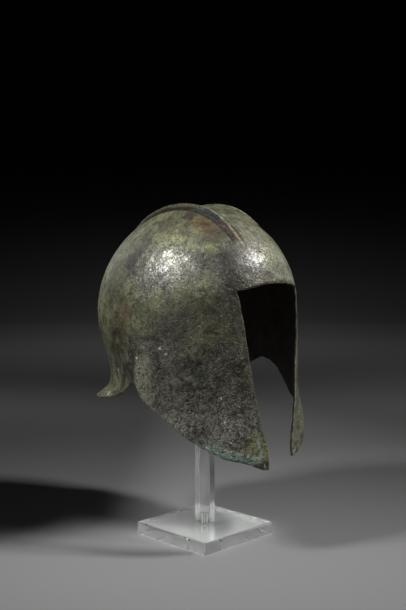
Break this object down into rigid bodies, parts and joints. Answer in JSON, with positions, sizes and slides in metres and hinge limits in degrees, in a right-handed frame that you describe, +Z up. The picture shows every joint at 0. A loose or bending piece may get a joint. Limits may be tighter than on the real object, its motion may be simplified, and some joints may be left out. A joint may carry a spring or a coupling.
{
  "type": "illyrian helmet on a clear display stand",
  "caption": "Open-faced hammered bronze helmet with twin crest ridges, long pointed cheek pieces and a flared neck guard, resting on a clear square post and base.",
  "frame": {"origin": "middle of the whole object's footprint, at the underside of the stand's base", "axes": "+Z up, the helmet faces -Y, +X towards the wearer's left"},
  "size_m": [0.1903, 0.2356, 0.3464],
  "materials": {
    "bronze": "pitted bronze with olive, brown and grey-violet patina",
    "clear_acrylic": "clear polished acrylic",
    "screw_steel": "bright machined steel"
  },
  "bodies": {
    "root": {"helmet_shell": "bronze", "crown_rest": "clear_acrylic", "stand_post": "clear_acrylic", "stand_base": "clear_acrylic", "stand_screw": "screw_steel"}
  },
  "joints": []
}
